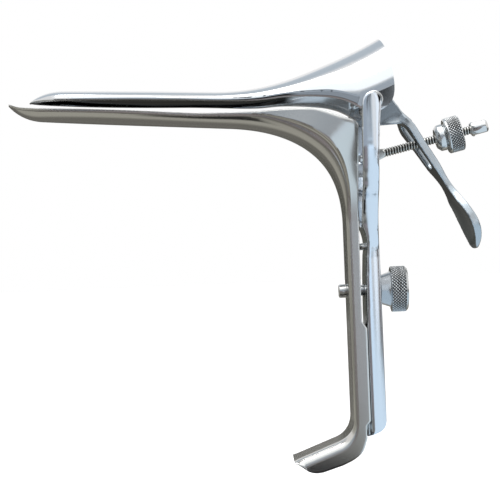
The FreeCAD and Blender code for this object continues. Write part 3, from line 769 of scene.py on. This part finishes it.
frameForging = {
    "voxel": 0.34, "soften": 13, "resoften": 9,
    "backRound": 1.6, "backSegments": 5, "backX": 4.6, "sideY": 9, "armY": 23.5,
    "barTop": 24, "armTop": 68,
    # half the width at each height: as drawn, and with the yoke's shoulders eased
    "drawn": [(11.2, 15), (12.5, 22), (19.1, 33.5), (25.4, 38.8), (26.65, 42), (27, 45)],
    "eased": [(11.2, 12), (11.5, 17), (13.2, 24.5), (18.0, 31.5), (22.8, 37), (25.9, 42.5),
              (26.9, 49), (27, 53)],
    "still": 0.3, "easeOver": 0.5,
    # how the outer faces are crowned, low on the bar and on the arms
    "crownFrom": 12, "crownOver": 12, "apex": (0.6, 1.3), "crown": (1.4, 1.0),
    "frontCrown": 0.12, "behind": 4.9, "before": 2.6, "past": 1.1, "rimBand": 2.4,
}
leverForging = {
    "voxel": 0.26, "soften": 7, "slope": 55.1, "back": 11.6, "lift": 4.1, "depth": 1.5,
    "turn": -19.0, "turnFrom": 4, "turnOver": 9, "lean": 2.4, "leanFrom": -1, "leanOver": 7,
    # the painted shade on the lever's underside: its amount along the strap and at the pad, and
    # which faces take it
    "film": (0.74, 0.3), "paintedShadeFrom": 38, "paintedShadeOver": 22, "underFrom": 0.3, "underOver": 0.4,
}


def softenForging(piece, voxel, turns):
    remesh = piece.modifiers.new("remesh", "REMESH")
    remesh.mode = "VOXEL"
    remesh.voxel_size = voxel * mm
    remesh.use_smooth_shade = True
    soft = piece.modifiers.new("soften", "SMOOTH")
    soft.factor = 0.5
    soft.iterations = turns
    applyAll(piece)


def bevelWhere(piece, test, width, segments, degrees=40):
    # round the sharp edges whose two ends pass the test
    editAll(piece)
    bpy.ops.mesh.select_all(action="DESELECT")
    bpy.ops.mesh.select_mode(type="EDGE")
    bpy.ops.mesh.edges_select_sharp(sharpness=math.radians(degrees))
    leaveEdit()
    points = piece.data.vertices
    for edge in piece.data.edges:
        ends = [points[v].co / mm for v in edge.vertices]
        edge.select = edge.select and test(*ends)
    bpy.ops.object.mode_set(mode="EDIT")
    bpy.ops.mesh.bevel(offset=width * mm, segments=segments, affect="EDGES", clamp_overlap=True)
    leaveEdit()


def outerBack(a, b):
    # an upright edge at the back of the frame's outer sides
    d = frameForging
    upright = abs(a.z - b.z) > 0.5 * (a - b).length
    behind = a.x > d["backX"] and b.x > d["backX"]
    outside = abs(a.y) > d["sideY"] and abs(b.y) > d["sideY"]
    return behind and outside and upright and (
        abs(a.y) > d["armY"] or a.z < d["barTop"]) and a.z < d["armTop"]


def easeFrame(piece):
    # draw the yoke's shoulders in and crown the outer faces
    d = frameForging
    drawn, eased = smoothRun(d["drawn"]), smoothRun(d["eased"])
    for vertex in piece.data.vertices:
        x, y, z = vertex.co / mm
        side = 1 if y > 0 else -1
        old, new = lineAt(drawn, z), lineAt(eased, z)
        depth = abs(y) / old
        y += side * (new - old) * smoothStep((depth - d["still"]) / d["easeOver"])
        share = smoothStep((z - d["crownFrom"]) / d["crownOver"])
        apex, crown = mix(*d["apex"], share), mix(*d["crown"], share)
        across = (x - apex) / (d["behind"] if x > apex else d["before"])
        across = min(max(across, -d["past"]), d["past"])
        outer = smoothStep((abs(y) - (new - d["rimBand"])) / d["rimBand"])
        y -= side * (crown if x > apex else d["frontCrown"]) * across**2 * outer
        vertex.co.y = y * mm


def makeFrame():
    d = frameForging
    piece = nodeCopy("frame", "frameForging")
    plugs = [nodeCopy(node, "plug") for node in ("hinge_rivet_near", "hinge_rivet_far")]
    bevelWhere(piece, outerBack, d["backRound"], d["backSegments"])
    joinInto(piece, plugs)
    softenForging(piece, d["voxel"], d["soften"])
    easeFrame(piece)
    soft = piece.modifiers.new("soften", "SMOOTH")
    soft.iterations = d["resoften"]
    applyAll(piece)
    finishPiece(piece, "frame_body", frameSteel, "frame", 180)


def makeLever():
    d = leverForging
    piece = nodeCopy("thumb_lever", "leverForging")
    softenForging(piece, d["voxel"], d["soften"])
    way, under = heading(-d["slope"]), heading(-d["slope"] - 90)
    start = Vector((hingePlace.x + d["back"], 0, hingePlace.z + d["lift"]))
    start += under * d["depth"] + Vector((0, pivotPlace.y, 0))
    turnBy, leanBy = math.radians(d["turn"]), math.radians(d["lean"])
    for vertex in piece.data.vertices:  # the strap turns its front to the middle and hangs closer
        place = vertex.co / mm - start
        along = place.dot(way)
        turned = smoothStep((along - d["turnFrom"]) / d["turnOver"])
        leant = smoothStep((along - d["leanFrom"]) / d["leanOver"])
        turn = Matrix.Rotation(turnBy * turned, 3, way)
        lean = Matrix.Rotation(leanBy * leant, 3, "Y")
        vertex.co = (lean @ turn @ place + start) * mm
    piece.data.update()

    def underPaintedShade(vertex):
        # painted shade on the underside keeps it darker than the polished edges, with less of it
        # at the pad
        along = (vertex.co / mm - start).dot(way)
        paintedShadeAmount = mix(*d["film"], smoothStep((along - d["paintedShadeFrom"]) / d["paintedShadeOver"]))
        facing = vertex.normal.dot(under)
        return paintedShadeAmount * smoothStep((facing - d["underFrom"]) / d["underOver"])

    addPaintedShade(piece, underPaintedShade)
    finishPiece(piece, "upper_body", leverSteel, "thumb_lever", 180)


makeFrame()
makeLever()
print("forgings ready")


# Turned pieces

rodWay = heading(rodRise)


def softProfile(points, radius=0.25, steps=3):
    # the same outline with each corner turned to a small arc
    spots = [Vector(p) for p in points]
    soft = [spots[0]]
    for a, b, c in zip(spots, spots[1:], spots[2:]):
        cut = min(radius, (b - a).length * 0.45, (c - b).length * 0.45)
        start = b + (a - b).normalized() * cut
        end = b + (c - b).normalized() * cut
        for i in range(steps + 1):
            t = i / steps
            soft.append(start * (1 - t) ** 2 + b * 2 * t * (1 - t) + end * t * t)
    return soft + [spots[-1]]


def turnPiece(name, profile, base, way, around=64, relief=None, near=0.8):
    # a closed solid of revolution from (radius, distance) points; relief moves points outwards
    side = Vector((-way.z, 0, way.x))
    rows = []
    for radius, distance in profile:
        row = []
        for i in range(around + 1):
            angle = 2 * math.pi * (i % around) / around
            r = radius + (relief(angle, distance, radius) if relief else 0)
            out = side * math.cos(angle) + Vector((0, 1, 0)) * math.sin(angle)
            row.append(base + way * distance + out * r)
        rows.append(row)
    piece = gridPiece(name, rows)
    editAll(piece)
    bpy.ops.mesh.remove_doubles(threshold=0.000002)
    bpy.ops.mesh.normals_make_consistent(inside=False)
    leaveEdit()

    def groovePaintedShade(vertex):
        # a groove gets painted shade by its depth
        out = vertex.co / mm - base
        distance = out.dot(way)
        out -= way * distance
        angle = math.atan2(out.y, out.dot(side)) % (2 * math.pi)
        outer = max(r for r, s in profile if abs(s - distance) < near)
        return -relief(angle, distance, outer)

    if relief:
        addPaintedShade(piece, groovePaintedShade)
    return piece


def knurled(profile, low, high, rows=40):
    # the outline with its straight run from low to high divided for the knurl
    divided = []
    for a, b in zip(profile, profile[1:]):
        divided.append(a)
        if abs(a[0] - b[0]) < 0.02 and a[1] <= low + 0.6 and b[1] >= high - 0.6:
            divided += [a.lerp(b, i / rows) for i in range(1, rows)]
    return divided + [profile[-1]]


def diamondRelief(outer, low, high, count, pitch, depth, sharp=1.5):
    # two crossing families of grooves round a head
    def relief(angle, distance, radius):
        if radius < outer - 0.05 or not low <= distance <= high:
            return 0
        turn = angle / (2 * math.pi) * count
        run = distance / pitch
        rise = 1.0
        for share in (turn + run, turn - run):
            rise = min(rise, 1 - abs((share % 1.0) * 2 - 1))
        return -depth * (1 - min(rise * sharp, 1.0))
    return relief


thumbNut = {"at": 29.9, "hub": 5.1, "hubLen": 4.0, "head": 6.8, "headLen": 6.2, "bore": 1.7,
            "count": 37, "pitch": 1.2, "depth": 0.34}
clampKnob = {"at": 5.9, "neck": 5.2, "neckTop": 6.5, "neckLen": 3.8, "head": 8.3, "headLen": 6.0,
             "bore": 2.0, "solid": 2.6, "count": 44, "pitch": 1.15, "depth": 0.34}
threadedRod = {"from": 9.2, "to": 49.5, "overlap": 0.5, "crest": 1.65, "depth": 0.42,
               "pitch": 1.06, "flank": 1.35, "rowsPerTurn": 10, "around": 24, "eyeRound": 0.3}
clampBolt = {"head": -9.2, "face": -6.3, "radius": 2.5, "shank": 1.95, "end": 12.6, "dimple": 1.1}
perGroove = 6  # columns to one groove of a knurl


def rodPlace(distance):
    return pivotPlace + rodWay * distance


def makeNut():
    d = thumbNut
    hub, hubLen, head, bore = d["hub"], d["hubLen"], d["head"], d["bore"]
    end = hubLen + d["headLen"]
    profile = softProfile([
        (bore, 1.0), (bore, 0.0), (hub - 1.4, 0.0), (hub - 0.1, 1.3), (hub, hubLen - 0.7),
        (hub - 0.7, hubLen - 0.1), (head - 0.5, hubLen), (head, hubLen + 0.5), (head, end - 0.5),
        (head - 0.6, end), (bore + 1.0, end), (bore, end - 0.6), (bore, 1.0)])
    low, high = hubLen + 1.0, end - 0.35
    relief = diamondRelief(head, low, high, d["count"], d["pitch"], d["depth"])
    piece = turnPiece("thumbNut", knurled(profile, low, high), rodPlace(d["at"]), rodWay,
                      d["count"] * perGroove, relief)
    finishPiece(piece, "nut_body", knurlSteel, "thumb_nut", 40)


def makeKnob():
    d = clampKnob
    neckLen, head, bore = d["neckLen"], d["head"], d["bore"]
    end = neckLen + d["headLen"]
    profile = softProfile([
        (bore, 1.0), (bore, 0.0), (d["neck"], 0.0), (d["neckTop"], neckLen - 0.2),
        (head - 0.15, neckLen), (head, neckLen + 0.3), (head, end - 0.9), (head - 0.9, end),
        (0.0, end)])
    low, high = neckLen + 0.1, end - 0.8
    hole = end - d["solid"]
    profile = [Vector((0.0, hole)), Vector((bore, hole))] + knurled(profile, low, high)
    relief = diamondRelief(head, low, high, d["count"], d["pitch"], d["depth"])
    piece = turnPiece("clampKnob", profile, Vector((d["at"], 0, 0)), Vector((1, 0, 0)),
                      d["count"] * perGroove, relief)
    finishPiece(piece, "knob_body", knurlSteel, "clamp_knob", 40)


def makeRod():
    # the eye comes from the drawing, and the screw is turned with its real thread
    d = threadedRod
    eye = nodeCopy("threaded_rod", "threadedRod")
    editAll(eye)
    bpy.ops.mesh.bisect(plane_co=rodPlace(d["from"] + d["overlap"]) * mm, plane_no=rodWay,
                        use_fill=True, clear_outer=True)
    leaveEdit()
    roundEdges(eye, d["eyeRound"])

    def thread(angle, distance, radius):
        if radius < 0.1:
            return 0
        share = (distance / d["pitch"] - angle / (2 * math.pi)) % 1.0
        height = min(1.0, (1 - abs(share * 2 - 1)) * d["flank"])
        return -d["depth"] * (1 - height)

    steps = int((d["to"] - d["from"]) / d["pitch"] * d["rowsPerTurn"])
    profile = [Vector((0, d["from"]))]
    profile += [Vector((d["crest"], mix(d["from"], d["to"], i / steps))) for i in range(steps + 1)]
    profile += [Vector((0, d["to"]))]
    screw = turnPiece("screw", profile, rodPlace(0), rodWay, d["around"], thread)
    joinInto(eye, [screw])
    finishPiece(eye, "rod_body", threadSteel, "threaded_rod", 50)


def makeBolt():
    d = clampBolt
    head, face, end, dimple = d["head"], d["face"], d["end"], d["dimple"]
    radius, shank = d["radius"], d["shank"]
    profile = softProfile([
        (0.0, head + 0.35), (dimple, head + 0.3), (dimple + 0.3, head), (radius - 0.35, head),
        (radius, head + 0.4), (radius, face), (shank, face), (shank, end - 0.5),
        (shank - 0.5, end), (0.0, end)], 0.15)
    piece = turnPiece("clampBolt", profile, Vector((0, 0, 0)), Vector((1, 0, 0)), 48)
    finishPiece(piece, "frame_body", turnedSteel, "clamp_bolt", 35)


makeNut()
makeKnob()
makeRod()
makeBolt()

# Small fasteners: copies of the drawing with their edges broken
smallPieces = {
    "lever_rivets": ("leverRivets", "upper_body", 0.12),
    "hinge_rivet_near": ("hingeRivetNear", "frame_body", 0.08),
    "hinge_rivet_far": ("hingeRivetFar", "frame_body", 0.08),
    "hinge_spacer": ("hingeSpacer", "frame_body", 0.25),
    "rod_pivot_pin": ("rodPivotPin", "frame_body", 0.2),
    "rod_end_cap": ("rodEndCap", "rod_body", 0.3),
    "guide_stud": ("guideStud", "frame_body", 0.2),
}

for node, (name, body, width) in smallPieces.items():
    piece = nodeCopy(node, name)
    if node.startswith("hinge_rivet"):  # ground flush with the arm
        for vertex in piece.data.vertices:
            vertex.co.y = min(max(vertex.co.y, -rivetEnd * mm), rivetEnd * mm)
    roundEdges(piece, width)
    finishPiece(piece, body, turnedSteel, node, 30)
print("fasteners ready")


# Studio

white = (1, 1, 1, 1)
middle = (-0.035, 0, 0.02)
ground = -0.0652  # the height of the cards that lie flat


def cardMaterial(name, colour, strength, edge, fade):
    # an even glow that turns to the edge colour near the card's sides
    material, tree = newMaterial(name)[:2]
    tree.nodes.clear()
    place = tree.nodes.new("ShaderNodeTexCoord")
    split = tree.nodes.new("ShaderNodeSeparateXYZ")
    tree.links.new(place.outputs["Object"], split.inputs[0])
    masks = []
    for socket, width in zip((split.outputs["X"], split.outputs["Y"]), fade):
        inward = mathNode(tree, "SUBTRACT", 0.5, mathNode(tree, "ABSOLUTE", socket))
        masks.append(rangeNode(tree, inward, 0.0, width, kind="SMOOTHSTEP"))
    mask = mathNode(tree, "MULTIPLY", *masks)
    glow = addNode(tree, "ShaderNodeEmission", Strength=strength)
    tree.links.new(colourNode(tree, mask, edge or colour, colour), glow.inputs["Color"])
    end = tree.nodes.new("ShaderNodeOutputMaterial")
    tree.links.new(glow.outputs[0], end.inputs["Surface"])
    return material


def card(name, place, size, aim, colour, strength=1.0, edge=None, fade=(0.2, 0.2), turn=0.0):
    # a studio card out of the camera's sight, seen only in reflections
    deselect()
    bpy.ops.mesh.primitive_plane_add(size=1, location=place)
    piece = bpy.context.object
    piece.name = name
    piece.scale = (size[0], size[1], 1)
    way = Vector(aim) - Vector(place)
    piece.rotation_euler = way.to_track_quat("Z", "Y").to_euler()
    piece.rotation_euler.z += math.radians(turn)
    piece.data.materials.append(cardMaterial(name + "Face", colour, strength, edge, fade))
    piece.visible_camera = False
    piece.visible_shadow = False
    piece.visible_diffuse = False


def flatCard(name, spot, lift, size, colour, **look):
    # on the ground and facing up; the lift keeps one card above another
    card(name, (*spot, ground + lift), size, (*spot, 1), colour, **look)


def uprightCard(name, place, size, colour, **look):
    # facing the middle plane of the piece
    card(name, place, size, (place[0], 0, place[2]), colour, **look)


# The floor is clear of the thumb rest when the handle is all the way down
floorLook = {
    "place": (0, 0.2, -0.0889), "size": (8, 8, 1), "colour": (0.86, 0.86, 0.86, 1), "rough": 0.9,
    "near": 0.03, "far": 0.1, "nearGlow": 0.52, "farGlow": 0.72,
}


def buildFloor():
    d = floorLook
    deselect()
    bpy.ops.mesh.primitive_plane_add(size=1, location=d["place"])
    floor = bpy.context.object
    floor.name = "paleFloor"
    floor.scale = d["size"]
    material, tree, principled = newMaterial("palePaper")
    principled.inputs["Base Color"].default_value = d["colour"]
    principled.inputs["Roughness"].default_value = d["rough"]
    principled.inputs["Emission Color"].default_value = white
    rays = tree.nodes.new("ShaderNodeLightPath")
    place = tree.nodes.new("ShaderNodeTexCoord")
    away = addNode(tree, "ShaderNodeVectorMath", operation="LENGTH")
    tree.links.new(place.outputs["Object"], away.inputs[0])
    glow = rangeNode(tree, away.outputs["Value"], d["near"], d["far"], d["nearGlow"], d["farGlow"])
    seen = mathNode(tree, "MULTIPLY", rays.outputs["Is Camera Ray"], glow)
    tree.links.new(seen, principled.inputs["Emission Strength"])
    floor.data.materials.append(material)


roomLight = {"seen": 1.0, "soft": 0.45}  # as seen or mirrored, and as it lights the piece


def buildWorld():
    world = bpy.data.worlds.new("studioWhite")
    bpy.context.scene.world = world
    world.use_nodes = True
    tree = world.node_tree
    tree.nodes.clear()
    rays = tree.nodes.new("ShaderNodeLightPath")
    seen = mathNode(tree, "MAXIMUM", rays.outputs["Is Camera Ray"], rays.outputs["Is Glossy Ray"])
    seen = mathNode(tree, "MAXIMUM", seen, rays.outputs["Is Transmission Ray"])
    strength = mathNode(tree, "MULTIPLY_ADD", seen, roomLight["seen"] - roomLight["soft"],
                        roomLight["soft"])
    back = addNode(tree, "ShaderNodeBackground", Color=white)
    tree.links.new(strength, back.inputs["Strength"])
    end = tree.nodes.new("ShaderNodeOutputWorld")
    tree.links.new(back.outputs[0], end.inputs["Surface"])


overhead = {"place": (-0.1, -0.15, 0.8), "size": (0.9, 0.6), "power": 6.0,
            "colour": (0.97, 0.985, 1.0)}


def buildLamp():
    d = overhead
    lamp = bpy.data.lights.new("overhead", "AREA")
    lamp.shape = "RECTANGLE"
    lamp.size, lamp.size_y = d["size"]
    lamp.energy = d["power"]
    lamp.color = d["colour"]
    holder = addObject("overhead", lamp)
    holder.location = d["place"]
    way = Vector(middle) - Vector(d["place"])
    holder.rotation_euler = way.to_track_quat("-Z", "Y").to_euler()


photoView = {"lens": 110.0, "film": 36.0, "place": (-0.04075, -0.555, 0.01625), "roll": 2.3}


def buildCamera():
    d = photoView
    view = bpy.data.cameras.new("photoView")
    view.lens = d["lens"]
    view.sensor_width = d["film"]
    view.dof.use_dof = False
    holder = addObject("photoView", view)
    holder.location = d["place"]
    holder.rotation_euler = (math.radians(90), math.radians(d["roll"]), 0)
    bpy.context.scene.camera = holder


buildFloor()
buildWorld()
buildCamera()
buildLamp()

# Each card's edge colour takes over within the fade, which is a share of its width and height
earth = (0.17, 0.165, 0.15)
card("frontSoftbox", (-0.15, -0.85, 0.86), (1.5, 0.7), middle, (0.93, 0.97, 1.0), strength=1.5)
card("rightSoftbox", (0.62, -0.62, 0.1), (0.30, 0.9), middle, (0.9, 0.95, 1.0), strength=1.3,
     edge=(0.5, 0.52, 0.55), fade=(0.15, 0.1))
card("topBackCard", (-0.1, 0.62, 0.78), (1.8, 0.7), middle, (0.60, 0.67, 0.74),
     edge=(0.95, 0.96, 0.98), fade=(0.1, 0.25))
flatCard("groundCard", (-0.05, -0.1), 0.0001, (2.6, 2.6), earth)
flatCard("nearGroundCard", (-0.05, 0.03), 0.0002, (1.1, 0.32), (0.46, 0.455, 0.41),
         edge=earth, fade=(0.2, 0.3))
flatCard("farGroundCard", (-0.14, -0.64), 0.0003, (0.56, 0.96), (0.28, 0.25, 0.255),
         edge=earth, fade=(0.02, 0.05))
# turned, so that its edge runs away from the camera's foot
flatCard("blueGroundCard", (0.2765, -0.46), 0.0004, (0.46, 1.08), (0.74, 0.88, 1.0),
         strength=1.12, edge=(0.28, 0.27, 0.28), fade=(0.015, 0.01), turn=6.0)
# a black card under the thumb rest: painted shadow, standing in for the rest's contact shadow as
# its underside mirrors it
flatCard("restShadowCard", (-0.045, -0.02), 0.0005, (0.09, 0.1), (0.015, 0.015, 0.015),
         edge=(0.12, 0.12, 0.11), fade=(0.15, 0.15))
uprightCard("frontCard", (-0.41, -1.0, 0.26), (1.03, 0.54), (0.44, 0.50, 0.57),
            edge=(0.6, 0.64, 0.68), fade=(0.02, 0.12))
uprightCard("frontLow", (-0.115, -0.99, -0.005), (0.44, 0.15), (0.30, 0.265, 0.27),
            edge=(0.3, 0.3, 0.32), fade=(0.01, 0.12))
uprightCard("frontLowDark", (-0.70, -0.99, -0.005), (0.72, 0.15), (0.03, 0.03, 0.03),
            edge=(0.2, 0.2, 0.2), fade=(0.03, 0.12))
uprightCard("frontBlue", (0.29, -1.0, 0.003), (0.374, 0.236), (0.72, 0.86, 1.0), strength=1.3,
            edge=(0.3, 0.31, 0.33), fade=(0.03, 0.1))
uprightCard("frontHigh", (0.22, -1.02, 0.24), (0.50, 0.42), (0.015, 0.017, 0.02),
            edge=(0.9, 0.93, 0.96), fade=(0.25, 0.45))
uprightCard("bellCard", (0.016, -0.12, 0.0805), (0.022, 0.026), (0.01, 0.01, 0.01),
            edge=(0.6, 0.65, 0.7), fade=(0.35, 0.3))
card("leftCard", (-0.95, -0.1, 0.08), (1.6, 0.4), (0, -0.1, 0.08), (0.42, 0.42, 0.38),
     edge=(0.8, 0.8, 0.78), fade=(0.05, 0.1))
uprightCard("backCard", (-0.1, 0.95, 0.06), (2.2, 0.28), (0.10, 0.10, 0.085),
            edge=(0.5, 0.5, 0.5), fade=(0.02, 0.12))
card("warmCard", (0.80, -0.28, 0.08), (0.14, 0.6), middle, (0.08, 0.025, 0.02))

bpy.context.scene.view_settings.view_transform = "Standard"
print("studio ready")
